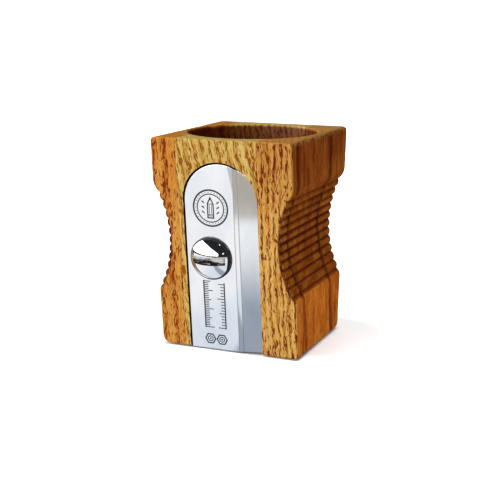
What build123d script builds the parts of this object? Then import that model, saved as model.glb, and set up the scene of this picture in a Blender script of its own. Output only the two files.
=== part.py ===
from build123d import *
from math import atan2, cos, sin, sqrt
import os

# An oak desk pot in the shape of a wedge pencil sharpener.
# Millimetres. +Z is up, +X is to the right seen from the front, and the front faces -Y.
# The origin is the middle of the rubber pad's underside, where the pot meets the desk.
# Heights below are measured from the oak's underside, and everything is lifted by PAD_PROUD at the end.

# Oak block
WIDTH = 76.0
HEIGHT = 110.0
DEPTH_TOP = 83.6
DEPTH_BASE = 63.0
ROUND_TOP = 2.3
ROUND_BASE_LEFT = 4.5
ROUND_BASE_RIGHT = 1.6
ROUND_FRONT_BACK = 1.0
ROUND_BACK_BASE = 3.5

# Staves, glued side by side
LEFT_GLUE_X = -24.0
RIGHT_GLUE_X = 18.9

# Finger grips: a hollow of beads, the same on both sides
WAIST_HALF_WIDTH = 29.7
WAIST_Z = 58.7
WAIST_RADIUS = 57.0
TOP_VALLEY_Z = 81.7
VALLEY_PITCH = 4.44
VALLEY_COUNT = 12
BEAD_HEIGHT = 1.05

# Tapered pencil hole
MOUTH_RADIUS = 33.8
FLOOR_RADIUS = 16.0
FLOOR_THICKNESS = 12.0

# Blade plate, let into the front face
PLATE_LEFT_X = -20.8
PLATE_RIGHT_X = 18.6
PLATE_TOP_Z = 97.8
PLATE_THICKNESS = 3.0
PLATE_SUNK = 0.5
LEFT_GAP = 0.6
RIGHT_GAP = 0.3
TOP_GAP = 0.95
RIDGE_X = 6.2
FACET_WIDTH = 1.9
FACET_DROP = 0.75
BEVEL_DROP = 2.4

# Clamp screw, M6 with a large slotted dome head, and its brass insert
SCREW_X = -7.4
SCREW_Z = 49.3
HEAD_RADIUS = 11.2
HEAD_RIM = 1.0
HEAD_DOME = 5.0
SLOT_WIDTH = 4.3
SLOT_DEPTH = 3.0
SHANK_RADIUS = 3.0
SHANK_LENGTH = 10.0
PLATE_HOLE_RADIUS = 3.3
INSERT_OUTER_RADIUS = 4.8
INSERT_BORE_RADIUS = 3.05
INSERT_LENGTH = 7.5
INSERT_POCKET_DEPTH = 8.0

# Rubber pad, let into the underside
PAD_WIDTH = 65.0
PAD_DEPTH = 53.0
PAD_CORNER = 4.0
PAD_THICKNESS = 1.8
PAD_PROUD = 0.6

# Longer than anything here, for cutting tools
BIG = 300.0

# The front and back lean outwards by this angle.
lean = atan2((DEPTH_TOP - DEPTH_BASE) / 2, HEIGHT)
outward = (0, -cos(lean), -sin(lean))

# Frame of the front face: x across, y up the slope, z out of the wood.
front = Plane(origin=(0, -DEPTH_BASE / 2, 0), x_dir=(1, 0, 0), z_dir=outward)
recess_depth = PLATE_SUNK + PLATE_THICKNESS


def valley_half_width(z):
    """Half the block's width at the bottom of the grooves, on the arc of the finger grip."""
    return WAIST_HALF_WIDTH + WAIST_RADIUS - sqrt(WAIST_RADIUS**2 - (z - WAIST_Z) ** 2)


def grip_edges(side):
    """The outline of one side from the top corner down to the base corner; side is +1 or -1."""
    edge_x = side * WIDTH / 2
    run_in = WAIST_HALF_WIDTH + WAIST_RADIUS - WIDTH / 2
    reach = sqrt(WAIST_RADIUS**2 - run_in**2)
    high = (edge_x, WAIST_Z + reach)
    low = (edge_x, WAIST_Z - reach)
    valleys = []
    for i in range(VALLEY_COUNT):
        z = TOP_VALLEY_Z - i * VALLEY_PITCH
        valleys.append((side * valley_half_width(z), z))
    edges = [Line((edge_x, HEIGHT), high)]
    edges.append(TangentArc(high, valleys[0], tangent=(0, -1)))
    for upper, lower in zip(valleys, valleys[1:]):
        run_x = upper[0] - lower[0]
        run_z = upper[1] - lower[1]
        chord = sqrt(run_x**2 + run_z**2)
        crest_x = (upper[0] + lower[0]) / 2 + side * BEAD_HEIGHT * run_z / chord
        crest_z = (upper[1] + lower[1]) / 2 - side * BEAD_HEIGHT * run_x / chord
        edges.append(ThreePointArc(upper, (crest_x, crest_z), lower))
    edges.append(TangentArc(low, valleys[-1], tangent=(0, 1)))
    edges.append(Line(low, (edge_x, 0)))
    return edges


def block():
    """The whole outside of the oak: the gripped outline, cut to a wedge, seen from the front and from the side."""
    half = WIDTH / 2
    edges = grip_edges(1) + grip_edges(-1)
    edges.append(Line((-half, HEIGHT), (half, HEIGHT)))
    edges.append(Line((-half, 0), (half, 0)))
    outline = Plane.XZ * make_face(edges)
    corners = {
        (half, HEIGHT): ROUND_TOP,
        (-half, HEIGHT): ROUND_TOP,
        (half, 0): ROUND_BASE_RIGHT,
        (-half, 0): ROUND_BASE_LEFT,
    }
    for (x, z), radius in corners.items():
        corner = outline.vertices().sort_by_distance((x, 0, z))[0]
        outline = fillet(corner, radius)
    across = extrude(outline, amount=BIG / 2, both=True)

    top = DEPTH_TOP / 2
    base = DEPTH_BASE / 2
    wedge = Plane.YZ * make_face(Polyline((-base, 0), (base, 0), (top, HEIGHT), (-top, HEIGHT), close=True))
    corners = {
        (-top, HEIGHT): ROUND_FRONT_BACK,
        (top, HEIGHT): ROUND_FRONT_BACK,
        (-base, 0): ROUND_FRONT_BACK,
        (base, 0): ROUND_BACK_BASE,
    }
    for (y, z), radius in corners.items():
        corner = wedge.vertices().sort_by_distance((0, y, z))[0]
        wedge = fillet(corner, radius)
    along = extrude(wedge, amount=BIG / 2, both=True)
    return across & along


def pencil_hole():
    """The tapered hole, narrowing to a flat floor; it runs a little past the top face."""
    depth = HEIGHT - FLOOR_THICKNESS
    overrun = 2.0
    mouth = MOUTH_RADIUS + overrun * (MOUTH_RADIUS - FLOOR_RADIUS) / depth
    cone = Cone(FLOOR_RADIUS, mouth, depth + overrun, align=(Align.CENTER, Align.CENTER, Align.MIN))
    return Pos(0, 0, FLOOR_THICKNESS) * cone


def arched(left, right, top, bottom):
    """A tongue with straight sides and a round head, in the front face's own frame."""
    radius = (right - left) / 2
    middle = (right + left) / 2
    straight = top - radius - bottom
    shaft = Pos(middle, bottom) * Rectangle(2 * radius, straight, align=(Align.CENTER, Align.MIN))
    head = Pos(middle, bottom + straight) * Circle(radius)
    return shaft + head


def recess():
    """The pocket for the plate, open at the base."""
    outline = arched(
        PLATE_LEFT_X - LEFT_GAP,
        PLATE_RIGHT_X + RIGHT_GAP,
        PLATE_TOP_Z / cos(lean) + TOP_GAP,
        -recess_depth,
    )
    return front * Pos(0, 0, -recess_depth) * extrude(outline, recess_depth + BIG / 10)


def insert_pocket():
    centre = Pos(SCREW_X, SCREW_Z / cos(lean), -recess_depth)
    pocket = Cylinder(
        INSERT_OUTER_RADIUS,
        INSERT_POCKET_DEPTH,
        align=(Align.CENTER, Align.CENTER, Align.MAX),
    )
    return front * centre * pocket


def pad_sheet(thickness, bottom):
    sheet = extrude(RectangleRounded(PAD_WIDTH, PAD_DEPTH, PAD_CORNER), thickness)
    return Pos(0, 0, bottom) * sheet


def between(low_x, high_x):
    """A tall slab that keeps what lies between two glue planes."""
    slab = Box(high_x - low_x, BIG, BIG, align=(Align.MIN, Align.CENTER, Align.CENTER))
    return Pos(low_x, 0, 0) * slab


def blade_plate():
    """The arched plate with its ground bevel and the screw's clearance hole."""
    top = PLATE_TOP_Z / cos(lean)
    blank = extrude(arched(PLATE_LEFT_X, PLATE_RIGHT_X, top, 0), PLATE_THICKNESS)
    facet_end = RIDGE_X + FACET_WIDTH
    surface = PLATE_THICKNESS
    section = Plane.XZ * make_face(
        Polyline(
            (RIDGE_X, surface),
            (facet_end, surface - FACET_DROP),
            (PLATE_RIGHT_X, surface - BEVEL_DROP),
            (PLATE_RIGHT_X + 1, surface - BEVEL_DROP),
            (PLATE_RIGHT_X + 1, surface + 1),
            (RIDGE_X, surface + 1),
            close=True,
        )
    )
    ground_off = extrude(section, amount=BIG, both=True)
    hole = Pos(SCREW_X, SCREW_Z / cos(lean), 0) * Cylinder(PLATE_HOLE_RADIUS, BIG)
    plate = blank - ground_off - hole
    return front * Pos(0, 0, -recess_depth) * plate


def clamp_screw():
    """The screw as one piece: a short rim, a ball-shaped dome with a straight slot, and the shank."""
    ball = (HEAD_RADIUS**2 + HEAD_DOME**2) / (2 * HEAD_DOME)
    height = HEAD_RIM + HEAD_DOME
    dome = Pos(0, 0, height - ball) * Sphere(ball)
    rim = Cylinder(HEAD_RADIUS, height, align=(Align.CENTER, Align.CENTER, Align.MIN))
    slot_blank = Box(BIG, SLOT_WIDTH, SLOT_DEPTH * 2, align=(Align.CENTER, Align.CENTER, Align.MIN))
    slot = Pos(0, 0, height - SLOT_DEPTH) * slot_blank
    shank = Cylinder(SHANK_RADIUS, SHANK_LENGTH, align=(Align.CENTER, Align.CENTER, Align.MAX))
    screw = (dome & rim) - slot + shank
    return front * Pos(SCREW_X, SCREW_Z / cos(lean), -PLATE_SUNK) * screw


def threaded_insert():
    sleeve = Cylinder(INSERT_OUTER_RADIUS, INSERT_LENGTH, align=(Align.CENTER, Align.CENTER, Align.MAX))
    bore = Cylinder(INSERT_BORE_RADIUS, 2 * BIG)
    return front * Pos(SCREW_X, SCREW_Z / cos(lean), -recess_depth) * (sleeve - bore)


def save(name, shape):
    lifted = Pos(0, 0, PAD_PROUD) * shape
    solids = lifted.solids()
    part = solids[0] if len(solids) == 1 else Compound(children=solids)
    part.label = name
    export_step(part, f"parts/{name}.step")
    box = part.bounding_box()
    print(f"{name}: {part.volume:.0f} mm3, {box.size.X:.2f} x {box.size.Y:.2f} x {box.size.Z:.2f} mm")


os.makedirs("parts", exist_ok=True)

oak = block() - pencil_hole() - recess() - insert_pocket()
oak = oak - pad_sheet(PAD_THICKNESS - PAD_PROUD, 0)

save("left_stave", oak & between(-BIG, LEFT_GLUE_X))
save("centre_stave", oak & between(LEFT_GLUE_X, RIGHT_GLUE_X))
save("right_stave", oak & between(RIGHT_GLUE_X, BIG))
save("blade_plate", blade_plate())
save("clamp_screw", clamp_screw())
save("threaded_insert", threaded_insert())
save("base_pad", pad_sheet(PAD_THICKNESS, -PAD_PROUD))
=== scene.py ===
from math import acos, atan2, cos, hypot, pi, radians, sin, sqrt

import bmesh
import bpy
from mathutils import Matrix, Vector, noise


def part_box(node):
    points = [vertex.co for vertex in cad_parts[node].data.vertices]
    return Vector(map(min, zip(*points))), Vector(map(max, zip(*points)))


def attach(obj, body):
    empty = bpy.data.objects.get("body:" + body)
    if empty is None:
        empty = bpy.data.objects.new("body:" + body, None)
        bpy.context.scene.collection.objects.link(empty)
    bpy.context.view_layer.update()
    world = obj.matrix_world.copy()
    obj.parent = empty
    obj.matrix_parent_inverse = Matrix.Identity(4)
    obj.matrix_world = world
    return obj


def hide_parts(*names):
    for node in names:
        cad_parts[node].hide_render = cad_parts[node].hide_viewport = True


# An oak desk pot in the shape of a wedge pencil sharpener: three oak staves, a bevelled steel plate,
# a chromed screw in a brass insert, and a rubber pad.
# Blender works in metres; the shapes below are drawn in millimetres.

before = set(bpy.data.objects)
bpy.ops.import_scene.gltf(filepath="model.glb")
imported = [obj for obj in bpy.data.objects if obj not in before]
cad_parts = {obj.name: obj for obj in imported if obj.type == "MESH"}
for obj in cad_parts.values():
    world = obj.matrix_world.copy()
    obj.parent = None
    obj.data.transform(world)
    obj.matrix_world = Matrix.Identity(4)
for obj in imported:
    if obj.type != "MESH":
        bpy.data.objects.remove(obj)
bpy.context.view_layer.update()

MM = 0.001


def node_box(node):
    """Lowest and highest corner of a CAD node, in millimetres."""
    low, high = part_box(node)
    return low / MM, high / MM


CENTRE_LOW, CENTRE_HIGH = node_box("centre_stave")
PAD_LOW, PAD_HIGH = node_box("base_pad")

# Oak block. Heights are measured from the oak's underside, which the pad holds off the desk.
PAD_PROUD = CENTRE_LOW.z
HALF_WIDTH = node_box("right_stave")[1].x
HEIGHT = CENTRE_HIGH.z - PAD_PROUD
HALF_DEPTH_TOP = 41.8
HALF_DEPTH_BASE = 31.5
ROUND_TOP = 2.3
ROUND_BASE_LEFT = 4.5
ROUND_BASE_RIGHT = 1.6
ROUND_FRONT_BACK = 1.0
ROUND_BACK_BASE = 3.5
ROUND_UPRIGHT = 0.9
LEFT_GLUE_X = CENTRE_LOW.x
RIGHT_GLUE_X = CENTRE_HIGH.x

# Finger grips
WAIST_HALF_WIDTH = 29.7
WAIST_Z = 58.7
WAIST_RADIUS = 57.0
TOP_VALLEY_Z = 81.7
VALLEY_PITCH = 4.44
VALLEY_COUNT = 12
BEAD_HEIGHT = 1.05
BEAD_STEPS = 8

# Tapered pencil hole
MOUTH_RADIUS = 33.8
FLOOR_RADIUS = 16.0
FLOOR_THICKNESS = 12.0
MOUTH_ROUND = 0.7
FLOOR_ROUND = 1.5
HOLE_TAPER = (MOUTH_RADIUS - FLOOR_RADIUS) / (HEIGHT - FLOOR_THICKNESS)

# Blade plate, let into the front
PLATE_LEFT_X = -20.8
PLATE_RIGHT_X = 18.6
PLATE_TOP_Z = 97.8
PLATE_THICKNESS = 3.0
PLATE_SUNK = 0.5
LEFT_GAP = 0.6
RIGHT_GAP = 0.3
TOP_GAP = 0.95
PLATE_ROUND = 0.35
PLATE_BACK_BREAK = 0.15
RECESS_DEPTH = PLATE_SUNK + PLATE_THICKNESS
RIDGE_X = 6.2
FACET_WIDTH = 1.9
FACET_DROP = 0.75
BEVEL_DROP = 2.4
DULL_WIDTH = 0.45
RUN_OUT_WIDTH = 2.6
RUN_OUT_LENGTH = 14.0
MARK_DEPTH = 0.08

# Clamp screw and its insert
SCREW_X = -7.4
SCREW_Z = 49.3
HEAD_RADIUS = 11.2
HEAD_RIM = 1.0
HEAD_DOME = 5.0
HEAD_HEIGHT = HEAD_RIM + HEAD_DOME
HEAD_SOFT_EDGE = 0.35
SHADE_RIM_WIDTH = 0.9
SLOT_WIDTH = 4.3
SLOT_DEPTH = 3.0
SLOT_EDGE_ROUND = 0.22
SHANK_RADIUS = 3.0
SHANK_LENGTH = 10.0
THREAD_START = 3.2
THREAD_RUN_OUT = 0.8
TIP_CHAMFER = 0.9
THREAD_PITCH = 1.0
THREAD_DEPTH = 0.55
THREAD_CLEARANCE = 0.06
THREAD_ROWS_PER_MM = 10
PLATE_HOLE_RADIUS = 3.3
INSERT_RADIUS = 4.8
INSERT_LENGTH = 7.5
WOOD_THREAD_PITCH = 2.0
WOOD_THREAD_DEPTH = 0.55
INSERT_END_TAPER = 0.5
INSERT_END_LENGTH = 0.6
POCKET_DEPTH = 8.0

# Rubber pad
PAD_HALF_WIDTH = PAD_HIGH.x
PAD_HALF_DEPTH = PAD_HIGH.y
PAD_CORNER = 4.0
PAD_THICKNESS = PAD_HIGH.z - PAD_LOW.z
PAD_EDGE_ROUND = 0.45
TREAD_PITCH = 5.5
TREAD_EACH_WAY = 4
TREAD_HALF_WIDTH = 0.6
TREAD_END_ROUND = 0.55
TREAD_DEPTH = 0.35
TREAD_MARGIN = 4.0

# How far a cutting tool runs past what it cuts
OVERRUN = 1.0
FAR_OVERRUN = 25.0

# Vertices nearer than this to a cutting plane lie on it
SAME_PLACE = 1e-5

# The front and back lean outwards by this angle
LEAN = atan2(HALF_DEPTH_TOP - HALF_DEPTH_BASE, HEIGHT)
PLATE_TOP_Y = PLATE_TOP_Z / cos(LEAN)
SCREW_Y = SCREW_Z / cos(LEAN)

# From millimetres above the oak's underside to Blender's metres
OAK = Matrix.Scale(MM, 4) @ Matrix.Translation((0, 0, PAD_PROUD))

# The front face's own frame: x across, y up the slope, z out of the wood
FRONT = Matrix.Translation((0, -HALF_DEPTH_BASE, 0)) @ Matrix.Rotation(radians(90) + LEAN, 4, "X")
PLATE_BACK = FRONT @ Matrix.Translation((0, 0, -RECESS_DEPTH))
SCREW_SEAT = FRONT @ Matrix.Translation((SCREW_X, SCREW_Y, -PLATE_SUNK))


# ---------------- meshes


def in_scene(name, data):
    """A new object in the scene."""
    obj = bpy.data.objects.new(name, data)
    bpy.context.scene.collection.objects.link(obj)
    return obj


def ring_verts(bm, points):
    """New vertices at the points, with no faces yet."""
    return [bm.verts.new(point) for point in points]


def join_rings(bm, lower, upper, material=0):
    """Quads between two closed rings of equal length."""
    count = len(lower)
    for i in range(count):
        j = (i + 1) % count
        face = bm.faces.new((lower[i], lower[j], upper[j], upper[i]))
        face.material_index = material


def loft(rings, close_ends=True):
    """A closed tube through the rings, with flat ends."""
    bm = bmesh.new()
    rows = [ring_verts(bm, points) for points in rings]
    for lower, upper in zip(rows, rows[1:]):
        join_rings(bm, lower, upper)
    if close_ends:
        bm.faces.new(list(reversed(rows[0])))
        bm.faces.new(rows[-1])
    else:
        join_rings(bm, rows[-1], rows[0])
    bmesh.ops.recalc_face_normals(bm, faces=bm.faces)
    return bm


def to_mesh(bm, name="shape"):
    """The finished mesh; the bmesh is freed."""
    mesh = bpy.data.meshes.new(name)
    bm.to_mesh(mesh)
    bm.free()
    return mesh


def prism(outline, low, high):
    """A straight-sided solid from an outline of (x, y) points."""
    return loft([[(x, y, low) for x, y in outline], [(x, y, high) for x, y in outline]])


def circle(radius, count, x=0.0, y=0.0):
    """Points counter-clockwise round a circle."""
    turn = 2 * pi / count
    return [(x + radius * cos(i * turn), y + radius * sin(i * turn)) for i in range(count)]


def quarter_round(radius, steps):
    """How far a round edge lies below one face and inside the other, from the one face to the other."""
    angles = [pi / 2 * i / steps for i in range(steps + 1)]
    return [(radius * (1 - cos(angle)), radius * (1 - sin(angle))) for angle in angles]


def rounded_rectangle(low_x, high_x, low_y, high_y, radius, side_steps, corner_steps):
    """Points counter-clockwise round a rectangle with round corners."""
    corners = [
        (high_x - radius, low_y + radius, -90),
        (high_x - radius, high_y - radius, 0),
        (low_x + radius, high_y - radius, 90),
        (low_x + radius, low_y + radius, 180),
    ]
    arcs = []
    for x, y, start in corners:
        arc = []
        for i in range(corner_steps + 1):
            angle = radians(start + 90 * i / corner_steps)
            arc.append((x + radius * cos(angle), y + radius * sin(angle)))
        arcs.append(arc)
    points = []
    for arc, following in zip(arcs, arcs[1:] + arcs[:1]):
        points += arc
        start, end = Vector(arc[-1]), Vector(following[0])
        for i in range(1, side_steps):
            points.append(tuple(start.lerp(end, i / side_steps)))
    return points


def dressed(mesh, *materials):
    """The mesh with its material slots filled, in this order."""
    for material in materials:
        mesh.materials.append(material)
    return mesh


def cut(mesh, tools):
    """The mesh with each tool taken away. A tool's own material stays on the faces that it leaves."""
    blank = in_scene("blank", mesh)
    used = [blank]
    for tool in tools:
        if not tool.materials:
            tool.materials.append(mesh.materials[0])
        cutter = in_scene("cutter", tool)
        modifier = blank.modifiers.new("cut", "BOOLEAN")
        modifier.operation = "DIFFERENCE"
        modifier.solver = "EXACT"
        modifier.material_mode = "TRANSFER"
        modifier.object = cutter
        used.append(cutter)
    evaluated = blank.evaluated_get(bpy.context.evaluated_depsgraph_get())
    result = bpy.data.meshes.new_from_object(evaluated)
    for obj in used:
        bpy.data.objects.remove(obj)
    return result


def add_piece(name, mesh, place, body, node, sharp=30):
    """Puts a finished mesh in the scene, in place of one CAD node."""
    mesh.transform(place)
    mesh.shade_smooth()
    mesh.set_sharp_from_angle(angle=radians(sharp))
    piece = in_scene(name, mesh)
    weighted = piece.modifiers.new("flats stay flat", "WEIGHTED_NORMAL")
    weighted.keep_sharp = True
    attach(piece, body)
    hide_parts(node)
    return piece


# ---------------- oak


def round_inset(height, radius):
    """How far a rounded edge stands in from the side at this distance from the end."""
    if height >= radius:
        return 0.0
    return radius - sqrt(max(radius**2 - (radius - height) ** 2, 0.0))


def valley_half_width(z):
    """Half the block's width at the bottom of the grooves, on the arc of the finger grip."""
    return WAIST_HALF_WIDTH + WAIST_RADIUS - sqrt(WAIST_RADIUS**2 - (z - WAIST_Z) ** 2)


def shoulder(edge_z, valley, steps):
    """Points of the arc that leaves the straight side at edge_z and ends at a valley, without its ends."""
    run = HALF_WIDTH - valley[0]
    rise = valley[1] - edge_z
    radius = (run**2 + rise**2) / (2 * run)
    sweep = acos((radius - run) / radius)
    direction = 1 if rise > 0 else -1
    points = []
    for i in range(1, steps):
        angle = sweep * i / steps
        x = HALF_WIDTH - radius + radius * cos(angle)
        points.append((x, edge_z + direction * radius * sin(angle)))
    return points


def bead(upper, lower):
    """Points of one bead from the upper valley towards the lower one, without its ends."""
    a, b = Vector(upper), Vector(lower)
    chord = b - a
    half = chord.length / 2
    radius = (half**2 + BEAD_HEIGHT**2) / (2 * BEAD_HEIGHT)
    out = Vector((-chord.y, chord.x)).normalized()
    centre = (a + b) / 2 + out * (BEAD_HEIGHT - radius)
    reach = acos((radius - BEAD_HEIGHT) / radius)
    along = chord.normalized()
    points = []
    for i in range(1, BEAD_STEPS):
        angle = reach * (2 * i / BEAD_STEPS - 1)
        points.append(tuple(centre + radius * (out * cos(angle) + along * sin(angle))))
    return points


def grip_profile():
    """(half width, height) up one side between the end rounds, from the bottom."""
    run_in = WAIST_HALF_WIDTH + WAIST_RADIUS - HALF_WIDTH
    reach = sqrt(WAIST_RADIUS**2 - run_in**2)
    high, low = WAIST_Z + reach, WAIST_Z - reach
    valleys = []
    for i in range(VALLEY_COUNT):
        z = TOP_VALLEY_Z - i * VALLEY_PITCH
        valleys.append((valley_half_width(z), z))
    points = [(HALF_WIDTH, high)] + shoulder(high, valleys[0], 8)
    for upper, lower in zip(valleys, valleys[1:]):
        points.append(upper)
        points += bead(upper, lower)
    points.append(valleys[-1])
    points += reversed(shoulder(low, valleys[-1], 6))
    points.append((HALF_WIDTH, low))
    points.reverse()
    return points


def block_profile():
    """(half width, height) of the outside, with close rows where the ends are rounded."""
    end_rows = [0.0, 0.02, 0.08, 0.2, 0.4, 0.65, 0.95, 1.3, 1.75, 2.3]
    below_grip = [3.0, 3.8, 4.5, 10.0, 16.0, 22.0]
    above_grip = [94.0, 100.0, 105.0]
    profile = [(HALF_WIDTH, z) for z in end_rows + below_grip]
    profile += grip_profile()
    profile += [(HALF_WIDTH, z) for z in above_grip]
    profile += [(HALF_WIDTH, HEIGHT - z) for z in reversed(end_rows)]
    return profile


def wear(x, y, z):
    """How far hand sanding has taken the surface inwards here: 0.05 to 0.14 mm."""
    lump = noise.noise(Vector((x / 9, y / 17, z / 9)))
    return 0.05 + 0.09 * abs(lump)


def block_ring(half_width, z):
    """The oak's outline at one height. Sanding moves it along X only, so the front and back stay flat."""
    from_top = HEIGHT - z
    side_top = round_inset(from_top, ROUND_TOP)
    end_top = round_inset(from_top, ROUND_FRONT_BACK)
    half_depth = HALF_DEPTH_BASE + (HALF_DEPTH_TOP - HALF_DEPTH_BASE) * z / HEIGHT
    left = -half_width + side_top + round_inset(z, ROUND_BASE_LEFT)
    right = half_width - side_top - round_inset(z, ROUND_BASE_RIGHT)
    front = -half_depth + end_top + round_inset(z, ROUND_FRONT_BACK)
    back = half_depth - end_top - round_inset(z, ROUND_BACK_BASE)
    points = []
    for x, y in rounded_rectangle(left, right, front, back, ROUND_UPRIGHT, 26, 5):
        inward = -Vector((x, y)).normalized() * wear(x, y, z)
        points.append((x + inward.x, y, z))
    return points


def hole_rings(directions):
    """Rings from the mouth's rounded edge down the taper to the floor."""
    round_steps, wall_steps = 5, 16
    sizes = []
    for drop, outset in quarter_round(MOUTH_ROUND, round_steps):
        sizes.append((MOUTH_RADIUS + outset - drop * HOLE_TAPER, HEIGHT - drop))
    top_z = HEIGHT - MOUTH_ROUND
    floor_z = FLOOR_THICKNESS + FLOOR_ROUND
    for i in range(1, wall_steps + 1):
        z = top_z + (floor_z - top_z) * i / wall_steps
        sizes.append((FLOOR_RADIUS + (z - FLOOR_THICKNESS) * HOLE_TAPER, z))
    foot_radius = sizes[-1][0]
    for inset, rise in quarter_round(FLOOR_ROUND, round_steps)[1:]:
        sizes.append((foot_radius - inset, FLOOR_THICKNESS + rise))
    return [[(radius * x, radius * y, z) for x, y in directions] for radius, z in sizes]


def oak_block():
    """The whole block with its hole, as one closed surface from the underside to the hole's floor."""
    outside = [block_ring(half_width, z) for half_width, z in block_profile()]
    rim = outside[-1]
    directions = []
    for x, y, _ in rim:
        length = hypot(x, y)
        directions.append((x / length, y / length))
    hole = hole_rings(directions)
    top_face = []
    for share in (0.06, 0.3, 0.65, 0.94):
        ring = [tuple(Vector(a).lerp(Vector(b), share)) for a, b in zip(rim, hole[0])]
        top_face.append(ring)
    return loft(outside + top_face + hole)


def keep_between(bm, low, high):
    """Cuts the block at two glue planes and caps the cuts. A plane beyond the block's side cuts nothing."""
    for x, outside in ((low, -1), (high, 1)):
        if abs(x) > HALF_WIDTH:
            continue
        parts = bm.verts[:] + bm.edges[:] + bm.faces[:]
        result = bmesh.ops.bisect_plane(
            bm,
            geom=parts,
            dist=SAME_PLACE,
            plane_co=(x, 0, 0),
            plane_no=(outside, 0, 0),
            clear_outer=True,
        )
        rim = [part for part in result["geom_cut"] if isinstance(part, bmesh.types.BMEdge)]
        bmesh.ops.edgeloop_fill(bm, edges=rim)
    bmesh.ops.recalc_face_normals(bm, faces=bm.faces)


def arch_points(centre_x, centre_y, radius, steps=72):
    """Half a circle from its right end over the top to its left end."""
    points = []
    for i in range(steps + 1):
        angle = pi * i / steps
        points.append((centre_x + radius * cos(angle), centre_y + radius * sin(angle)))
    return points


def recess_tool():
    """What the pocket for the plate takes from the centre stave; it runs on past the glue plane."""
    left = PLATE_LEFT_X - LEFT_GAP
    right = PLATE_RIGHT_X + RIGHT_GAP
    radius = (right - left) / 2
    centre_y = PLATE_TOP_Y + TOP_GAP - radius
    below = -10
    past_glue = right + 2
    outline = [(left, below), (past_glue, below), (past_glue, centre_y)]
    outline += arch_points((left + right) / 2, centre_y, radius)
    tool = prism(outline, -RECESS_DEPTH, FAR_OVERRUN)
    tool.transform(FRONT)
    return to_mesh(tool)


def pocket_tool():
    """The hole for the brass insert, behind the plate."""
    tool = prism(circle(INSERT_RADIUS, 48, SCREW_X, SCREW_Y), -RECESS_DEPTH - POCKET_DEPTH, 0)
    tool.transform(FRONT)
    return to_mesh(tool)


def pad_tool():
    """The pocket for the pad in the underside."""
    below = -5
    outline = rounded_rectangle(
        -PAD_HALF_WIDTH, PAD_HALF_WIDTH, -PAD_HALF_DEPTH, PAD_HALF_DEPTH, PAD_CORNER, 2, 8
    )
    return to_mesh(prism(outline, below, PAD_THICKNESS - PAD_PROUD))


def add_stave(node, low, high, tools, material):
    """One stave: the block between two glue planes, less the pockets."""
    bm = oak_block()
    keep_between(bm, low, high)
    mesh = cut(dressed(to_mesh(bm), material), tools)
    add_piece("oak_" + node, mesh, OAK, "pot", node)


# ---------------- plate

# Material slots of the two metal blanks: the polish comes first, then its dull parts, then black painted as
# shade in gaps
DULL, PAINTED_SHADE_BLACK = 1, 2


def plate_outline(inset):
    """The tongue's outline, moved inwards, counter-clockwise from the bottom left."""
    left, right = PLATE_LEFT_X + inset, PLATE_RIGHT_X - inset
    radius = (right - left) / 2
    centre_y = PLATE_TOP_Y - (PLATE_RIGHT_X - PLATE_LEFT_X) / 2
    return [(left, inset), (right, inset)] + arch_points((left + right) / 2, centre_y, radius)


def face_drop(x):
    """How far the plate's ground face lies below its flat, across the plate."""
    steps = [(RIDGE_X, 0.0), (RIDGE_X + FACET_WIDTH, FACET_DROP), (PLATE_RIGHT_X, BEVEL_DROP)]
    if x <= RIDGE_X:
        return 0.0
    for (x0, drop0), (x1, drop1) in zip(steps, steps[1:]):
        if x <= x1:
            return drop0 + (drop1 - drop0) * (x - x0) / (x1 - x0)
    return BEVEL_DROP


def score(bm, point, direction):
    """Divides the plate's faces along a line in its plane."""
    parts = bm.verts[:] + bm.edges[:] + bm.faces[:]
    across = (direction[1], -direction[0], 0)
    bmesh.ops.bisect_plane(bm, geom=parts, dist=SAME_PLACE, plane_co=(*point, 0), plane_no=across)


def plate_blank():
    """The plate with a rounded front edge, a ground facet and bevel, and the grinder's dull lines.

    Where the ridge runs out, a dull patch is a painted dark reflection; the edges are black as painted shade
    in the gap.
    """
    rings = []
    for inset, z in ((PLATE_BACK_BREAK, 0.0), (0.0, PLATE_BACK_BREAK)):
        rings.append([(x, y, z) for x, y in plate_outline(inset)])
    for inset, drop in quarter_round(PLATE_ROUND, 4):
        rings.append([(x, y, PLATE_THICKNESS - drop) for x, y in plate_outline(inset)])
    bm = loft(rings)
    facet_end = RIDGE_X + FACET_WIDTH
    strips = [(RIDGE_X - DULL_WIDTH, RIDGE_X), (facet_end - DULL_WIDTH / 2, facet_end + DULL_WIDTH / 2)]
    for x in [edge for strip in strips for edge in strip] + [facet_end]:
        score(bm, (x, 0), (0, 1))
    run_out_x, run_out_y = RIDGE_X - DULL_WIDTH, PLATE_TOP_Y - RUN_OUT_LENGTH
    score(bm, (run_out_x, run_out_y), (-RUN_OUT_WIDTH, RUN_OUT_LENGTH))
    for face in bm.faces:
        middle = face.calc_center_median()
        on_top = face.normal.z > 0.9
        in_strip = any(low < middle.x < high for low, high in strips)
        rise = middle.y - run_out_y
        # The patch where the ridge runs out takes the dull steel as a painted dark reflection
        in_run_out = rise > 0 and run_out_x - RUN_OUT_WIDTH * rise / RUN_OUT_LENGTH < middle.x < run_out_x
        if on_top and (in_strip or in_run_out):
            face.material_index = DULL
        # The plate's edges are painted black as the shade in the gap round it
        elif abs(face.normal.z) < 0.1:
            face.material_index = PAINTED_SHADE_BLACK
    for vert in bm.verts:
        if vert.co.z > PLATE_THICKNESS / 2:
            vert.co.z -= face_drop(vert.co.x)
    return bm


def inset_outline(points, distance):
    """The outline of a convex shape, drawn counter-clockwise, moved inwards."""
    count = len(points)
    inner = []
    for i in range(count):
        before, here, after = (Vector(points[(i + step) % count]) for step in (-1, 0, 1))
        first, second = (here - before).normalized(), (after - here).normalized()
        inward = Vector((-first.y - second.y, first.x + second.x)).normalized()
        inner.append(tuple(here + inward * distance / inward.dot(Vector((-first.y, first.x)))))
    return inner


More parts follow.
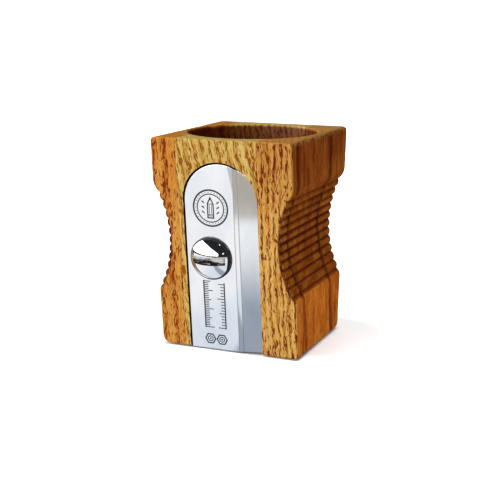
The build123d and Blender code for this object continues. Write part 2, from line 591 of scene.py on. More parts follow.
class Marks:
    """Cutting tools for shallow marks. The filled shapes are one tool, and each closed line is its own."""

    spine_outside, spine_inside, spine_end = -0.5, 0.2, 0.4
    tooth_half = 0.24

    def __init__(self):
        self.filled = bmesh.new()
        self.lines = []
        self.low = PLATE_THICKNESS - MARK_DEPTH
        self.high = PLATE_THICKNESS + OVERRUN

    def solid(self, outline):
        """A filled shape."""
        lower = ring_verts(self.filled, [(x, y, self.low) for x, y in outline])
        upper = ring_verts(self.filled, [(x, y, self.high) for x, y in outline])
        join_rings(self.filled, lower, upper)
        self.filled.faces.new(list(reversed(lower)))
        self.filled.faces.new(upper)

    def bar(self, x, y, width, height):
        """A filled rectangle round its middle."""
        w, h = width / 2, height / 2
        self.solid([(x - w, y - h), (x + w, y - h), (x + w, y + h), (x - w, y + h)])

    def outline(self, points, width=0.7):
        """A closed line inside the shape."""
        inner = inset_outline(points, width)
        rings = []
        for ring, z in ((points, self.low), (points, self.high), (inner, self.high), (inner, self.low)):
            rings.append([(x, y, z) for x, y in ring])
        self.lines.append(to_mesh(loft(rings, close_ends=False)))

    def comb(self, spine_x, low, high, pitch, lengths, side):
        """A ruler's edge: a spine with long, middle and short teeth to one side."""
        root = self.spine_inside
        points = [
            (root, high + self.spine_end),
            (self.spine_outside, high + self.spine_end),
            (self.spine_outside, low - self.spine_end),
            (root, low - self.spine_end),
        ]
        for i in range(int((high - low) / pitch + SAME_PLACE) + 1):
            rank = 0 if i % 10 == 0 else 1 if i % 5 == 0 else 2
            tip = root + lengths[rank]
            under, over = low + i * pitch - self.tooth_half, low + i * pitch + self.tooth_half
            points += [(root, under), (tip, under), (tip, over), (root, over)]
        if side < 0:
            points.reverse()
        self.solid([(spine_x + side * x, y) for x, y in points])

    def tools(self):
        """The meshes to cut with. No more marks can be added after this."""
        bmesh.ops.recalc_face_normals(self.filled, faces=self.filled.faces)
        return [to_mesh(self.filled)] + self.lines


def plate_marks():
    """Plain emblems of the trade: a pencil in a beaded ring, two ruler's edges, and two pencil ends."""
    marks = Marks()
    badge_x, badge_y = SCREW_X + 0.8, 75.7
    marks.outline(circle(9.7, 96, badge_x, badge_y), 0.9)
    marks.outline(circle(7.5, 96, badge_x, badge_y), 0.6)
    for x, y in circle(8.15, 30, badge_x, badge_y):
        marks.solid(circle(0.27, 8, x, y))
    pencil = [(-1.9, -5.4), (1.9, -5.4), (1.9, 2.2), (0, 6.2), (-1.9, 2.2)]
    marks.outline([(badge_x + x, badge_y + y) for x, y in pencil])
    marks.solid([(badge_x - 0.5, badge_y + 4.0), (badge_x + 0.5, badge_y + 4.0), (badge_x, badge_y + 5.1)])
    for rise, height in ((-4.0, 0.4), (-3.3, 0.4), (2.1, 0.4)):
        marks.bar(badge_x, badge_y + rise, 2.6, height)
    for shift in (-0.6, 0.6):
        marks.bar(badge_x + shift, badge_y - 0.6, 0.36, 4.4)
    for side in (-1, 1):
        for rise in (-2.6, 0.0, 2.6):
            leaf = [(3.0, rise - 0.6), (4.6, rise + 0.3), (4.9, rise + 1.2), (3.6, rise + 0.7)]
            marks.solid([(badge_x + side * x, badge_y + y) for x, y in leaf[::side]])

    millimetre, sixteenth_inch = 1.0, 1.5875
    marks.comb(-12.3, 12.0, 37.0, millimetre, (4.6, 3.4, 2.2), 1)
    marks.comb(-1.2, 12.0, 36.4, sixteenth_inch, (3.9, 2.9, 1.9), -1)

    end_y = 5.6
    for x in (-10.1, -3.6):
        marks.outline(circle(3.2, 6, x, end_y), 0.7)
        marks.outline(circle(1.6, 24, x, end_y), 0.5)
        marks.solid(circle(0.5, 12, x, end_y))
    return marks.tools()


def add_plate(polished, dull, black_and_shade):
    """The steel plate, with the screw's hole and the black etched marks cut in it."""
    hole = prism(circle(PLATE_HOLE_RADIUS, 64, SCREW_X, SCREW_Y), -OVERRUN, PLATE_THICKNESS + OVERRUN)
    blank = dressed(to_mesh(plate_blank()), polished, dull, black_and_shade)
    mesh = cut(blank, [to_mesh(hole)] + [dressed(tool, black_and_shade) for tool in plate_marks()])
    add_piece("steel_plate", mesh, OAK @ PLATE_BACK, "plate", "blade_plate")


# ---------------- screw, insert and pad


def thread_height(turn, z, pitch):
    """0 in the root and 1 on the crest of a right-hand thread."""
    phase = (z / pitch - turn) % 1.0
    return min(max((0.5 - abs(phase - 0.5)) * 2.6 - 0.5, 0.0), 1.0)


def smooth_step(x):
    """Smoothly from 0 at 0 to 1 at 1, and level outside."""
    x = min(max(x, 0.0), 1.0)
    return x * x * (3 - 2 * x)


def threaded_ring(root, depth, z, count, pitch=THREAD_PITCH):
    """One ring of a thread that stands out from its root radius by depth."""
    points = []
    for i in range(count):
        turn = i / count
        radius = root + depth * thread_height(turn, z, pitch)
        points.append((radius * cos(2 * pi * turn), radius * sin(2 * pi * turn), z))
    return points


def screw_rings(count=96):
    """Rings from the top of the dome over the rim to the tip of the shank."""
    ball = (HEAD_RADIUS**2 + HEAD_DOME**2) / (2 * HEAD_DOME)
    dome_edge = HEAD_RADIUS - HEAD_SOFT_EDGE
    sizes = []
    for radius in (0.4, 1.2, 2.4, 3.6, 4.8, 6.0, 7.0, 8.0, 8.8, 9.6, 10.2, 10.5, dome_edge):
        sizes.append((radius, HEAD_HEIGHT - ball + sqrt(ball**2 - radius**2)))
    rim_z = sizes[-1][1]
    sizes += [(HEAD_RADIUS - 0.14, rim_z - 0.18), (HEAD_RADIUS, rim_z - 0.48)]
    sizes += [(HEAD_RADIUS, 0.25), (HEAD_RADIUS - 0.08, 0.08), (HEAD_RADIUS - 0.25, 0.0)]
    sizes.append((SHANK_RADIUS, 0.0))
    rings = [[(x, y, z) for x, y in circle(radius, count)] for radius, z in sizes]
    rows = int(SHANK_LENGTH * THREAD_ROWS_PER_MM)
    root = SHANK_RADIUS - THREAD_DEPTH
    for i in range(1, rows + 1):
        z = -SHANK_LENGTH * i / rows
        plain = smooth_step((z + THREAD_START) / THREAD_RUN_OUT)
        chamfer = TIP_CHAMFER * smooth_step((-z - SHANK_LENGTH + TIP_CHAMFER) / TIP_CHAMFER)
        ring = []
        for x, y, _ in threaded_ring(root, THREAD_DEPTH, z, count):
            radius = hypot(x, y)
            wanted = min(radius + (SHANK_RADIUS - radius) * plain, SHANK_RADIUS - chamfer)
            ring.append((wanted * x / radius, wanted * y / radius, z))
        rings.append(ring)
    return rings


def add_screw(polished, dull, black_and_shade):
    """The chromed screw, with a sawn slot and a rim painted black as the shade where the head meets the
    plate.
    """
    bm = loft(screw_rings())
    # The rim below the dome is painted black as the shade where the head meets the plate
    for face in bm.faces:
        middle = face.calc_center_median()
        at_rim = hypot(middle.x, middle.y) > HEAD_RADIUS - SHADE_RIM_WIDTH
        if at_rim and middle.z > 0 and abs(face.normal.z) < 0.9:
            face.material_index = PAINTED_SHADE_BLACK
    blank = dressed(to_mesh(bm), polished, dull, black_and_shade)
    reach, half = 2 * HEAD_RADIUS, SLOT_WIDTH / 2
    section = [(-reach, -half), (reach, -half), (reach, half), (-reach, half)]
    slot = prism(section, HEAD_HEIGHT - SLOT_DEPTH, HEAD_HEIGHT + OVERRUN)
    mesh = cut(blank, [dressed(to_mesh(slot), dull)])
    place = OAK @ SCREW_SEAT
    piece = add_piece("chrome_screw", mesh, place, "screw", "clamp_screw", sharp=28)
    bevel = piece.modifiers.new("soft slot edges", "BEVEL")
    bevel.width = SLOT_EDGE_ROUND * MM
    bevel.segments = 3
    bevel.limit_method = "ANGLE"
    bevel.angle_limit = radians(32)
    bevel.harden_normals = True
    piece.modifiers.move(1, 0)


def add_insert(brass):
    """A brass sleeve: M6 thread inside, in step with the screw's, and a coarse wood thread outside."""
    count = 72
    high = PLATE_SUNK - RECESS_DEPTH
    low = high - INSERT_LENGTH
    rows = int(INSERT_LENGTH * THREAD_ROWS_PER_MM)
    outside = []
    inside = []
    for i in range(rows + 1):
        z = low + (high - low) * i / rows
        end = INSERT_END_TAPER * smooth_step(1 - min(z - low, high - z) / INSERT_END_LENGTH)
        root = INSERT_RADIUS - WOOD_THREAD_DEPTH - end
        outside.append(threaded_ring(root, WOOD_THREAD_DEPTH, z, count, WOOD_THREAD_PITCH))
        root = SHANK_RADIUS - THREAD_DEPTH + THREAD_CLEARANCE + end
        inside.append(threaded_ring(root, THREAD_DEPTH - end, z, count))
    mesh = dressed(to_mesh(loft(outside + inside[::-1], close_ends=False)), brass)
    add_piece("brass_insert", mesh, OAK @ SCREW_SEAT, "pot", "threaded_insert")


def add_pad(rubber):
    """A moulded rubber sheet with soft lower edges and a shallow tread of grooves."""
    rows = [(inset, rise - PAD_PROUD) for rise, inset in quarter_round(PAD_EDGE_ROUND, 4)]
    rows.append((0.0, PAD_THICKNESS - PAD_PROUD))
    rings = []
    for inset, z in rows:
        outline = rounded_rectangle(
            -PAD_HALF_WIDTH + inset,
            PAD_HALF_WIDTH - inset,
            -PAD_HALF_DEPTH + inset,
            PAD_HALF_DEPTH - inset,
            PAD_CORNER - inset,
            12,
            8,
        )
        rings.append([(x, y, z) for x, y in outline])
    grooves = []
    reach = PAD_HALF_WIDTH - TREAD_MARGIN
    for i in range(-TREAD_EACH_WAY, TREAD_EACH_WAY + 1):
        y = i * TREAD_PITCH
        low, high = y - TREAD_HALF_WIDTH, y + TREAD_HALF_WIDTH
        outline = rounded_rectangle(-reach, reach, low, high, TREAD_END_ROUND, 2, 4)
        grooves.append(to_mesh(prism(outline, -PAD_PROUD - OVERRUN, TREAD_DEPTH - PAD_PROUD)))
    mesh = cut(dressed(to_mesh(loft(rings)), rubber), grooves)
    add_piece("rubber_pad", mesh, OAK, "pot", "base_pad")


# ---------------- materials


class Nodes:
    """A short way to write a node tree: values or links go straight in."""

    def __init__(self, name):
        self.material = bpy.data.materials.new(name)
        self.material.use_nodes = True
        self.tree = self.material.node_tree
        self.shader = self.tree.nodes["Principled BSDF"]

    def feed(self, socket, value):
        if isinstance(value, bpy.types.NodeSocket):
            self.tree.links.new(value, socket)
        else:
            socket.default_value = value

    def add(self, kind, settings=None, **inputs):
        node = self.tree.nodes.new(kind)
        for key, value in (settings or {}).items():
            setattr(node, key, value)
        for key, value in inputs.items():
            self.feed(node.inputs[key.replace("_", " ")], value)
        return node

    def math(self, operation, a, b=0.0):
        node = self.add("ShaderNodeMath", {"operation": operation})
        self.feed(node.inputs[0], a)
        self.feed(node.inputs[1], b)
        return node.outputs[0]

    def times(self, a, b):
        return self.math("MULTIPLY", a, b)

    def plus(self, a, b):
        return self.math("ADD", a, b)

    def minus(self, a, b):
        return self.math("SUBTRACT", a, b)

    def vector(self, operation, a, b=(0, 0, 0)):
        node = self.add("ShaderNodeVectorMath", {"operation": operation})
        self.feed(node.inputs[0], a)
        self.feed(node.inputs[1], b)
        return node.outputs["Value" if operation == "LENGTH" else "Vector"]

    def noise(self, where, detail, roughness=0.5, output="Fac"):
        node = self.add("ShaderNodeTexNoise", Vector=where, Scale=1, Detail=detail, Roughness=roughness)
        return node.outputs[output]

    def span(self, value, low, high, to_low=0.0, to_high=1.0):
        """Smoothly from to_low at low to to_high at high, and level outside."""
        node = self.add("ShaderNodeMapRange", {"interpolation_type": "SMOOTHSTEP"}, Value=value)
        for socket, number in zip(node.inputs[1:5], (low, high, to_low, to_high)):
            self.feed(socket, number)
        return node.outputs["Result"]

    def mix(self, share, a, b, blend="MIX"):
        node = self.add("ShaderNodeMix", {"data_type": "RGBA", "blend_type": blend})
        self.feed(node.inputs[0], share)
        for socket, value in zip(node.inputs[6:8], (a, b)):
            self.feed(socket, value if isinstance(value, bpy.types.NodeSocket) else (*value, 1.0))
        return node.outputs[2]

    def multiply_in(self, share, colour, shade):
        """The colour, multiplied by the shade as far as share says: for tints and for painted shade."""
        return self.mix(share, colour, self.mix(1.0, colour, shade, "MULTIPLY"))

    def surface(self, **inputs):
        """Feeds the shader's own sockets."""
        for key, value in inputs.items():
            self.feed(self.shader.inputs[key.replace("_", " ")], value)

    def bump(self, height, distance, strength):
        """Small relief; distance is in metres."""
        node = self.add("ShaderNodeBump", Height=height, Distance=distance, Strength=strength)
        self.feed(self.shader.inputs["Normal"], node.outputs[0])

    def where(self, scale):
        """Position on the object, in millimetres times scale. Heights include the pad's PAD_PROUD."""
        coordinates = self.add("ShaderNodeTexCoord").outputs["Object"]
        factor = tuple(component / MM for component in scale)
        return self.vector("MULTIPLY", coordinates, factor)


# Painted shade for the oak's side faces, grip grooves and hole, and its dark growth streaks
SIDE_PAINTED_SHADE_BANDS = (0.62, 0.26, 0.10)
SIDE_STREAK = (0.34, 0.12, 0.05)
GROOVE_PAINTED_SHADE = (0.28, 0.17, 0.11)
HOLE_PAINTED_SHADE = (0.28, 0.13, 0.07)


def linear(red, green, blue):
    """A display colour, 0 to 255, as the light it stands for."""
    return tuple(((value / 255 + 0.055) / 1.055) ** 2.4 for value in (red, green, blue))


def groove_painted_shade(n, place, height):
    """How much painted shade the finger grips take: 1 in the valleys between the beads, less on their crests
    and towards the top, and 0 on the flats.
    """
    rise = n.minus(height, WAIST_Z)
    below_arc = n.minus(WAIST_RADIUS**2, n.times(rise, rise))
    arc = n.math("SQRT", n.math("MAXIMUM", below_arc, 1.0))
    valley = n.minus(WAIST_HALF_WIDTH + WAIST_RADIUS, arc)
    across = n.add("ShaderNodeSeparateXYZ", Vector=place).outputs["X"]
    proud = n.minus(n.math("ABSOLUTE", across), valley)
    grip_low = TOP_VALLEY_Z - (VALLEY_COUNT - 1) * VALLEY_PITCH
    middle, reach = (TOP_VALLEY_Z + grip_low) / 2, (TOP_VALLEY_Z - grip_low) / 2
    away = n.math("ABSOLUTE", n.minus(height, middle))
    in_grip = n.span(away, reach + 1.2, reach + 0.4)
    in_side = n.span(proud, -1.2, -0.4)
    on_crest = n.span(height, grip_low, TOP_VALLEY_Z, 0.68, 0.0)
    in_valley = n.span(height, middle, TOP_VALLEY_Z, 1.0, 0.55)
    depth = n.span(proud, 0.98 * BEAD_HEIGHT, 0.35 * BEAD_HEIGHT, on_crest, in_valley)
    return n.times(n.times(in_grip, in_side), depth)


def hole_painted_shade(n, place, height):
    """How much painted shade the tapered hole takes: 1 on its wall, and 0 elsewhere."""
    radius_at_zero, outside_it = MOUTH_RADIUS - HEIGHT * HOLE_TAPER, 0.4
    wall = n.plus(n.times(height, HOLE_TAPER), radius_at_zero + outside_it)
    from_axis = n.vector("LENGTH", n.vector("MULTIPLY", place, (1, 1, 0)))
    inside = n.span(n.minus(wall, from_axis), -0.3, 0.1)
    below_rim = n.span(height, HEIGHT + PAD_PROUD, HEIGHT - 1)
    return n.times(inside, below_rim)


def grain_place(n, place, height, tilt):
    """Where a point lies in the grain, which leans with height, wanders widely and curls finely."""
    lean = n.vector("SCALE", (*tilt, 0.0))
    n.feed(lean.node.inputs["Scale"], height)
    grain = n.vector("ADD", place, lean)
    for size, push in (((0.035, 0.035, 0.016), 8), ((0.35, 0.35, 0.17), 2.6)):
        texture = n.noise(n.vector("MULTIPLY", place, size), 2, 0.5, "Color")
        shift = n.vector("MULTIPLY", n.vector("SUBTRACT", texture, (0.5, 0.5, 0.5)), (push, push, 0))
        grain = n.vector("ADD", grain, shift)
    return grain


def early_wood(n, grain, pith, ring_width):
    """1 in the porous early wood of each year's ring, and 0 in the dense late wood."""
    flat = n.vector("MULTIPLY", n.vector("SUBTRACT", grain, (*pith, 0)), (1, 1, 0))
    distance = n.math("DIVIDE", n.vector("LENGTH", flat), ring_width)
    uneven = n.noise(n.vector("MULTIPLY", grain, (0.15, 0.15, 0.012)), 2)
    ring = n.math("FRACT", n.plus(distance, n.times(uneven, 1.2)))
    off_line = n.math("ABSOLUTE", n.minus(ring, 0.5))
    return n.span(off_line, 0.34, 0.05)


def shade_and_streaks_on_sides(n, grain, height, side_painted_shade, streaks):
    """Painted shade on the side faces, darker in bands, and a few dark growth streaks."""
    bands = n.noise(n.vector("MULTIPLY", grain, (0.1, 0.16, 0.012)), 4, 0.7)
    shade = n.mix(n.span(bands, 0.42, 0.66), side_painted_shade, SIDE_PAINTED_SHADE_BANDS)
    grain_y = n.add("ShaderNodeSeparateXYZ", Vector=grain).outputs["Y"]
    for start, slope, half_width in streaks:
        line = n.plus(n.times(height, slope), start)
        away = n.math("ABSOLUTE", n.minus(grain_y, line))
        shade = n.mix(n.span(away, half_width, half_width * 0.3, 0.0, 0.9), shade, SIDE_STREAK)
    return shade


def oak(name, pale, mid, dark, top_shade, side_painted_shade, pith, ring_width, tilt, seed, streaks=()):
    """Ring-porous oak, solid through the stave: rings round a far pith, long open pores, and an oiled sheen.

    pale, mid and dark are the wood's tones. top_shade tints it towards the top, and the side shade is
    painted shade on the side faces, where the light falls weakly. pith is the rings' centre, tilt is how far
    the grain leans for each unit of height, and each of
    the streaks is a dark line on the side faces: where it starts, how it slopes, and half its width. The
    seed picks which stretch of the pores' pattern shows.
    """
    n = Nodes(name)
    place = n.where((1, 1, 1))
    height = n.add("ShaderNodeSeparateXYZ", Vector=place).outputs["Z"]
    grain = grain_place(n, place, height, tilt)
    early = early_wood(n, grain, pith, ring_width)

    fibre = n.vector("ADD", n.vector("MULTIPLY", grain, (1.45, 1.45, 0.2)), (seed, 0, 0))
    dashes = n.noise(fibre, 1, 0.4)
    pore = n.span(n.plus(dashes, n.times(early, 0.13)), 0.595, 0.66)
    fine = n.noise(n.vector("MULTIPLY", fibre, (1.9, 1.9, 1.7)), 2, 0.6)
    fine_pore = n.span(n.plus(fine, n.times(early, 0.06)), 0.52, 0.66)
    streak = n.noise(n.vector("MULTIPLY", grain, (0.6, 0.6, 0.03)), 3, 0.6)

    normal = n.add("ShaderNodeSeparateXYZ", Vector=n.add("ShaderNodeNewGeometry").outputs["Normal"])
    faces_side = n.span(n.math("ABSOLUTE", normal.outputs["Y"]), 0.7, 0.3)
    side = n.times(faces_side, n.span(height, HEIGHT, HEIGHT - 2))
    end_grain_and_top_light = n.span(normal.outputs["Z"], 0.6, 0.9)
    on_side = n.span(side, 0.0, 1.0, 0.95, 0.2)
    open_pore = n.times(on_side, n.span(end_grain_and_top_light, 0.0, 1.0, 1.0, 0.45))

    tone = n.plus(n.times(streak, 0.9), n.times(early, 0.16))
    colour = n.mix(n.span(tone, 0.32, 0.72), pale, mid)
    colour = n.mix(n.times(fine_pore, 0.38), colour, dark)
    colour = n.mix(n.times(pore, open_pore), colour, dark)
    # Painted light: faces that look up are lifted towards the pale tone
    colour = n.mix(n.times(end_grain_and_top_light, 0.45), colour, pale)
    colour = n.multiply_in(n.span(height, 60, 108), colour, top_shade)
    # Painted shade on the side faces, which keep their dark growth streaks, and painted shade in the grip
    # grooves and down the hole
    colour = n.multiply_in(side, colour, shade_and_streaks_on_sides(n, grain, height, side_painted_shade, streaks))
    colour = n.multiply_in(groove_painted_shade(n, place, height), colour, GROOVE_PAINTED_SHADE)
    colour = n.multiply_in(hole_painted_shade(n, place, height), colour, HOLE_PAINTED_SHADE)
    n.surface(Base_Color=colour)

    roughness = n.plus(n.times(streak, 0.16), n.times(pore, 0.25))
    n.surface(Roughness=n.plus(roughness, 0.34), Specular_IOR_Level=0.1)
    n.bump(n.plus(n.times(pore, -1.0), n.times(fine, 0.5)), 0.0002, 0.6)
    return n.material


def oak_left():
    """Red-brown oak with wide rings."""
    return oak(
        "oak_left",
        pale=linear(224, 162, 74),
        mid=linear(206, 122, 38),
        dark=linear(122, 38, 2),
        top_shade=(0.88, 0.78, 0.58),
        side_painted_shade=(0.90, 0.68, 0.42),
        pith=(-150, 10),
        ring_width=6.4,
        tilt=(-0.03, 0.02),
        seed=11.3,
    )


def oak_centre():
    """Paler oak with close rings, whose grain leans to the left as it rises."""
    return oak(
        "oak_centre",
        pale=linear(224, 190, 110),
        mid=linear(202, 154, 66),
        dark=linear(146, 76, 8),
        top_shade=(0.95, 0.98, 0.95),
        side_painted_shade=(0.90, 0.68, 0.42),
        pith=(110, 60),
        ring_width=3.2,
        tilt=(0.17, 0.03),
        seed=4.1,
    )


def oak_right():
    """Oak with close rings, a darker top, and two dark growth streaks down its side."""
    return oak(
        "oak_right",
        pale=linear(232, 184, 100),
        mid=linear(212, 146, 56),
        dark=linear(118, 36, 2),
        top_shade=(0.78, 0.62, 0.48),
        side_painted_shade=(0.94, 0.53, 0.20),
        pith=(170, 20),
        ring_width=3.0,
        tilt=(0.04, 0.04),
        seed=7.7,
        streaks=((-18, -0.12, 2.6), (19, 0.0, 3.2)),
    )


def recess_painted_shade():
    """Oak on the walls and floor of the plate's pocket, painted dark brown as the shade in the gap round the
    plate, with its grain still showing.
    """
    n = Nodes("oak_scorched")
    fibre = n.noise(n.where((1.3, 1.3, 0.15)), 3, 0.6)
    brown = n.mix(n.span(fibre, 0.35, 0.65), linear(38, 22, 12), linear(70, 42, 22))
    n.surface(Base_Color=brown, Roughness=n.span(fibre, 0.3, 0.7, 0.7, 0.9), Specular_IOR_Level=0.1)
    n.bump(fibre, 0.0001, 0.5)
    return n.material


def steel():
    """Finely polished steel with faint grinding lines along its length."""
    n = Nodes("plate_steel")
    lines = n.noise(n.where((9, 9, 0.06)), 3, 0.6)
    haze = n.noise(n.where((0.08, 0.08, 0.05)), 2)
    tint = n.mix(n.span(haze, 0.35, 0.65), linear(232, 235, 240), linear(242, 243, 246))
    n.surface(Base_Color=tint, Metallic=1.0)
    roughness = n.plus(n.times(lines, 0.08), n.times(haze, 0.03))
    n.surface(Roughness=n.plus(roughness, 0.05))
    n.bump(lines, 0.000004, 0.3)
    return n.material


def dull_steel_and_reflection():
    """Rougher, darker steel: the narrow lines that the grinding wheel leaves unpolished, and the patch where
    the ridge runs out, darkened as a painted reflection.
    """
    n = Nodes("plate_dull_line_and_reflection")
    lines = n.noise(n.where((9, 9, 0.3)), 3, 0.6)
    n.surface(Base_Color=n.mix(lines, linear(168, 168, 170), linear(196, 196, 196)), Metallic=1.0)
    n.surface(Roughness=n.span(lines, 0.3, 0.7, 0.25, 0.4))
    n.bump(lines, 0.00001, 0.3)
    return n.material


def etched_black_and_shade():
    """Black metal: the etched marks, and painted shade on the plate's edge in its gap and on the rim of the
    screw's head.
    """
    n = Nodes("etched_black_and_shade")
    grit = n.noise(n.where((3, 3, 3)), 3)
    n.surface(Base_Color=n.mix(grit, linear(16, 17, 20), linear(44, 46, 52)))
    n.surface(Roughness=n.span(grit, 0.3, 0.7, 0.45, 0.65))
    return n.material


def chrome():
    """Mirror-polished chrome with faint scuffs."""
    n = Nodes("screw_chrome")
    scuffs = n.noise(n.where((2.2, 9, 9)), 4, 0.7)
    n.surface(Base_Color=n.mix(scuffs, linear(232, 234, 238), linear(244, 245, 247)), Metallic=1.0)
    n.surface(Roughness=n.span(scuffs, 0.3, 0.8, 0.03, 0.1))
    n.bump(scuffs, 0.000003, 0.2)
    return n.material


def raw_slot():
    """The sawn slot, which the polish and the plating hardly reach, painted darker towards its lower edge as
    shade.
    """
    n = Nodes("screw_slot")
    saw = n.noise(n.where((0.3, 3, 3)), 3, 0.6)
    patches = n.noise(n.where((0.25, 0.5, 0.5)), 2, 0.5)
    height = n.add("ShaderNodeSeparateXYZ", Vector=n.where((1, 1, 1))).outputs["Z"]
    middle = SCREW_Z + PAD_PROUD
    # Painted shade: the slot is darker towards its lower edge
    slot_painted_shade = n.span(height, middle - SLOT_WIDTH / 2, middle + SLOT_WIDTH / 2, -0.13, 0.13)
    worn = n.plus(n.times(saw, 0.5), n.times(patches, 0.5))
    worn = n.span(n.plus(worn, slot_painted_shade), 0.40, 0.60)
    n.surface(Base_Color=n.mix(worn, linear(34, 33, 33), linear(206, 205, 203)), Metallic=1.0)
    n.surface(Roughness=n.span(saw, 0.3, 0.7, 0.12, 0.3))
    n.bump(saw, 0.00002, 0.4)
    return n.material


def brass():
    """Turned brass, lightly tarnished."""
    n = Nodes("insert_brass")
    tarnish = n.noise(n.where((0.6, 0.6, 0.6)), 4, 0.6)
    n.surface(Base_Color=n.mix(tarnish, linear(214, 176, 98), linear(176, 132, 66)), Metallic=1.0)
    n.surface(Roughness=n.span(tarnish, 0.3, 0.7, 0.22, 0.42))
    turning = n.noise(n.where((1, 12, 1)), 2)
    n.bump(turning, 0.00001, 0.3)
    return n.material


def rubber():
    """Matt dark rubber with dust and fine speckle."""
    n = Nodes("pad_rubber")
    speckle = n.noise(n.where((5, 5, 5)), 3, 0.7)
    dust = n.noise(n.where((0.12, 0.12, 0.12)), 3)
    worn = n.mix(n.span(dust, 0.4, 0.75), linear(34, 38, 44), linear(62, 66, 72))
    n.surface(Base_Color=n.mix(n.times(speckle, 0.3), worn, linear(18, 20, 24)))
    n.surface(Roughness=n.span(speckle, 0.3, 0.7, 0.7, 0.9))
    n.bump(speckle, 0.00006, 0.5)
    return n.material


def paper_white():
    """A white sweep that glows, with a painted shadow: the glow is dimmer round a point right of the pot and
    stops under its foot.
    """
    n = Nodes("floor_white")
    place = n.where((1, 1, 0))
    mottle = n.noise(n.vector("MULTIPLY", place, (0.01, 0.01, 0.01)), 2)
    n.surface(Base_Color=n.mix(mottle, (0.9, 0.9, 0.905), (0.92, 0.92, 0.925)), Roughness=0.9)
    n.surface(Specular_IOR_Level=0.0, Emission_Color=(1, 1, 1, 1))
    shadow_middle = (35, 15, 0)
    distance = n.vector("LENGTH", n.vector("SUBTRACT", place, shadow_middle))
    axes = n.add("ShaderNodeSeparateXYZ", Vector=place)
    beyond_x = n.minus(n.math("ABSOLUTE", axes.outputs["X"]), HALF_WIDTH)
    beyond_y = n.minus(n.math("ABSOLUTE", axes.outputs["Y"]), HALF_DEPTH_BASE)
    # Painted shadow: no glow under the pot's foot, and less glow round shadow_middle
    clear_of_pot = n.span(n.math("MAXIMUM", beyond_x, beyond_y), -1.0, 1.5)
    glow = n.times(clear_of_pot, n.span(distance, 30, 52, 0.40, 1.0))
    n.surface(Emission_Strength=glow)
    return n.material


def reflector():
    """What the metal mirrors: a white card, bluer by the pot's foot, with a grey lane and a warm patch."""
    n = Nodes("reflector")
    place = n.where((1, 1, 1))
    axes = n.add("ShaderNodeSeparateXYZ", Vector=place)
    x, y = axes.outputs["X"], axes.outputs["Y"]
    foot = (20, -50, 0)
    near = n.span(n.vector("LENGTH", n.vector("SUBTRACT", place, foot)), 85, 30)
    lane_x, lane_slope = 16, 0.114
    off_lane = n.minus(n.minus(x, n.times(y, lane_slope)), lane_x)
    lane = n.times(n.span(n.math("ABSOLUTE", off_lane), 13, 6), n.span(y, -190, -65))
    warm = n.times(n.span(y, -216, -218.5), n.span(x, -60, -35))
    colour = n.mix(near, (1.0, 1.0, 1.0), (0.78, 0.84, 0.90))
    colour = n.mix(lane, colour, (0.34, 0.38, 0.45))
    colour = n.mix(warm, colour, (0.50, 0.46, 0.39))
    n.surface(Base_Color=(0, 0, 0, 1), Specular_IOR_Level=0.0, Emission_Color=colour)
    n.surface(Emission_Strength=1.0)
    return n.material


# ---------------- camera, light and floor

CAMERA_AZIMUTH = radians(22.98)
CAMERA_ELEVATION = radians(12.41)
CAMERA_DISTANCE = 0.5537
CAMERA_TARGET = Vector((0.0, 0.0, 0.05272))
CAMERA_LENS = 78.2
CAMERA_SHIFT_X = -0.02623
POT_MIDDLE = (0.0, 0.0, 0.05)


def towards(azimuth, elevation):
    """The direction from the pot to something at this azimuth, 0 being in front, and elevation."""
    return Vector((sin(azimuth) * cos(elevation), -cos(azimuth) * cos(elevation), sin(elevation)))


def add_camera():
    """The camera, in front of the pot, to its right and a little above it."""
    data = bpy.data.cameras.new("camera")
    data.sensor_width = 36.0
    data.lens = CAMERA_LENS
    data.shift_x = CAMERA_SHIFT_X
    data.clip_start = 0.01
    data.clip_end = 50.0
    camera = in_scene("camera", data)
    camera.location = CAMERA_TARGET + CAMERA_DISTANCE * towards(CAMERA_AZIMUTH, CAMERA_ELEVATION)
    camera.rotation_euler = (radians(90) - CAMERA_ELEVATION, 0, CAMERA_AZIMUTH)
    bpy.context.scene.camera = camera


def add_light(name, place, aim, width, height, radiance, mirrored=False):
    """A rectangular soft light from place towards aim, as bright as a surface of that radiance."""
    data = bpy.data.lights.new(name, "AREA")
    data.shape = "RECTANGLE"
    data.size = width
    data.size_y = height
    data.energy = radiance * pi * width * height
    light = in_scene(name, data)
    light.location = place
    light.rotation_euler = (Vector(place) - Vector(aim)).to_track_quat("Z", "Y").to_euler()
    light.visible_camera = False
    light.visible_glossy = mirrored


def add_lights():
    """The wall light, the right card and two small lights show in the metal. The rest light only the oak."""
    add_light("wall", (0.163, -1.28, 0.255), (1.008, -0.744, 0.255), 3.12, 0.39, 4.2, mirrored=True)
    add_light("overhead", (-0.6, -0.6, 1.0), POT_MIDDLE, 0.7, 0.7, 1.2)
    add_light("side", (0.3, 0.2, 1.15), POT_MIDDLE, 0.5, 0.5, 2.8)
    add_light("rear", (-0.1, 1.1, 0.7), POT_MIDDLE, 0.8, 0.6, 2.2)
    add_light("rear_low", (-0.2, 1.0, 0.15), POT_MIDDLE, 0.8, 0.25, 3.0)
    card = 1.2 * towards(radians(80), radians(18))
    add_light("right_card", card, POT_MIDDLE, 1.2, 0.8, 0.12, mirrored=True)
    add_light("kicker", (0.115, 0.0, 0.012), (0.038, 0.0, 0.03), 0.10, 0.02, 6.0)
    for name, azimuth, elevation, size in (("catch_low", 40, 11, 0.09), ("catch_high", 28, 45, 0.12)):
        place = 1.3 * towards(radians(azimuth), radians(elevation))
        add_light(name, place, POT_MIDDLE, size, size, 2.0, mirrored=True)


def add_sheet(name, corners, height, material):
    """A level card that isn't part of the pot."""
    bm = bmesh.new()
    bm.faces.new(ring_verts(bm, [(x, y, height) for x, y in corners]))
    sheet = in_scene(name, to_mesh(bm, name))
    sheet.data.materials.append(material)
    return sheet


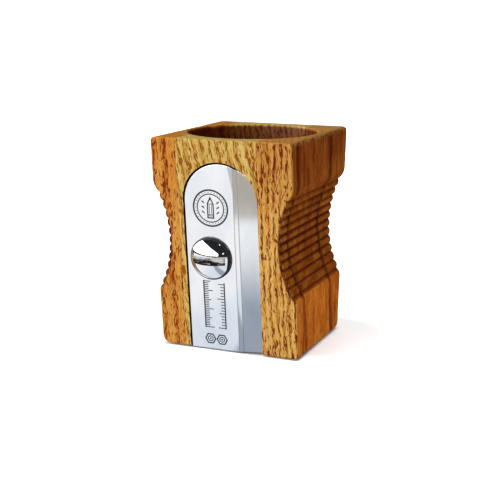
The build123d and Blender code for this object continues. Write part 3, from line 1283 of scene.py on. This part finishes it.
def add_floor():
    """The white floor that is seen, and a reflector in its place that only the metal mirrors."""
    just_below, lower_still = -0.00005, -0.0001
    floor = add_sheet("floor", ((-3, -3), (3, -3), (3, 3), (-3, 3)), just_below, paper_white())
    floor.visible_diffuse = False
    floor.visible_glossy = False
    ahead = ((-0.75, -0.03), (-0.75, -0.75), (0.5, -0.75), (0.5, -0.38), (0.03, -0.05), (0.03, -0.03))
    mirrored = add_sheet("reflector", ahead, lower_still, reflector())
    mirrored.visible_camera = False
    mirrored.visible_diffuse = False
    mirrored.visible_shadow = False


def add_world():
    """White where the camera sees it, dark where metal mirrors it, and a dim room for the rest."""
    world = bpy.data.worlds.new("studio")
    bpy.context.scene.world = world
    world.use_nodes = True
    tree = world.node_tree
    tree.nodes.clear()
    path = tree.nodes.new("ShaderNodeLightPath")
    shade = None
    for ray, colour, strength in (
        (None, (0.94, 0.97, 1.0), 0.18),
        ("Is Glossy Ray", (1.0, 1.0, 1.0), 0.02),
        ("Is Camera Ray", (1.0, 1.0, 1.0), 1.1),
    ):
        background = tree.nodes.new("ShaderNodeBackground")
        background.inputs["Color"].default_value = (*colour, 1)
        background.inputs["Strength"].default_value = strength
        if shade is None:
            shade = background.outputs[0]
            continue
        mix = tree.nodes.new("ShaderNodeMixShader")
        tree.links.new(path.outputs[ray], mix.inputs[0])
        tree.links.new(shade, mix.inputs[1])
        tree.links.new(background.outputs[0], mix.inputs[2])
        shade = mix.outputs[0]
    output = tree.nodes.new("ShaderNodeOutputWorld")
    tree.links.new(shade, output.inputs["Surface"])


# ---------------- the scene

bpy.context.scene.view_settings.view_transform = "Standard"
add_camera()
add_world()
add_floor()
add_lights()

outer = HALF_WIDTH + OVERRUN
add_stave("left_stave", -outer, LEFT_GLUE_X, [pad_tool()], oak_left())
# The pocket's walls are painted dark brown as shade in the gap round the plate
centre_tools = [pad_tool(), dressed(recess_tool(), recess_painted_shade()), pocket_tool()]
add_stave("centre_stave", LEFT_GLUE_X, RIGHT_GLUE_X, centre_tools, oak_centre())
add_stave("right_stave", RIGHT_GLUE_X, outer, [pad_tool()], oak_right())
black_and_shade = etched_black_and_shade()
add_plate(steel(), dull_steel_and_reflection(), black_and_shade)
add_screw(chrome(), raw_slot(), black_and_shade)
add_insert(brass())
add_pad(rubber())
